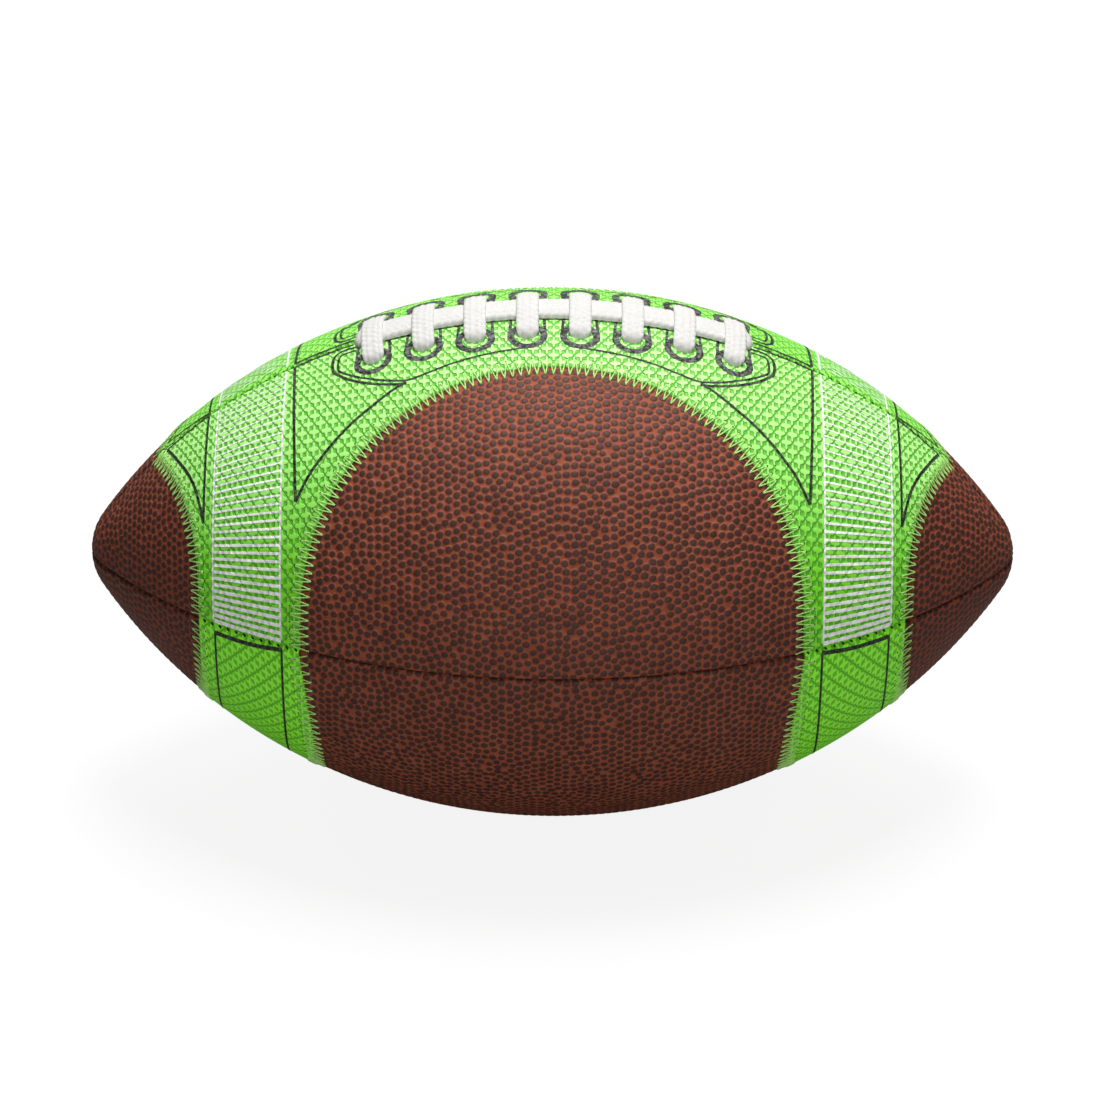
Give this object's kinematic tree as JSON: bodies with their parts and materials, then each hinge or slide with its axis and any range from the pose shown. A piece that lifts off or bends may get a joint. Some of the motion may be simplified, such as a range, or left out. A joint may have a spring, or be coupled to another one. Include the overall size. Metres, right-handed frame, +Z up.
{
  "type": "american football",
  "caption": "Pointed inflated ball of sewn pebbled leather and bright grip pieces with a raised white lace, for throwing, kicking and carrying by hand.",
  "frame": {"origin": "lowest point of the ball, below its middle", "axes": "+X along the ball from tip to tip, +Z up through the lacing, -Y towards the pictured side"},
  "size_m": [0.29, 0.167, 0.1726],
  "materials": {
    "pebbled_leather": "pebbled, satin",
    "tacky_grip": "matte, moulded with small raised crosses",
    "cotton_lining": "plain weave",
    "backing_leather": "rough",
    "bladder_rubber": "smooth",
    "valve_rubber": "matte",
    "lace_cord": "flat braid"
  },
  "bodies": {
    "root": {"upper_front_left_tip": "pebbled_leather", "upper_front_right_tip": "pebbled_leather", "upper_front_inset": "pebbled_leather", "upper_rear_left_tip": "pebbled_leather", "upper_rear_right_tip": "pebbled_leather", "upper_rear_inset": "pebbled_leather", "lower_front_left_tip": "pebbled_leather", "lower_front_right_tip": "pebbled_leather", "lower_front_middle": "pebbled_leather", "lower_rear_left_tip": "pebbled_leather", "lower_rear_right_tip": "pebbled_leather", "lower_rear_middle": "pebbled_leather", "upper_front_grip": "tacky_grip", "upper_rear_grip": "tacky_grip", "lower_front_left_band": "tacky_grip", "lower_front_right_band": "tacky_grip", "lower_rear_left_band": "tacky_grip", "lower_rear_right_band": "tacky_grip", "upper_front_lining": "cotton_lining", "upper_rear_lining": "cotton_lining", "lower_front_lining": "cotton_lining", "lower_rear_lining": "cotton_lining", "front_lace_facing": "backing_leather", "rear_lace_facing": "backing_leather", "valve_patch": "backing_leather", "bladder": "bladder_rubber", "valve_housing": "valve_rubber", "valve_core": "valve_rubber", "lace": "lace_cord"}
  },
  "joints": []
}
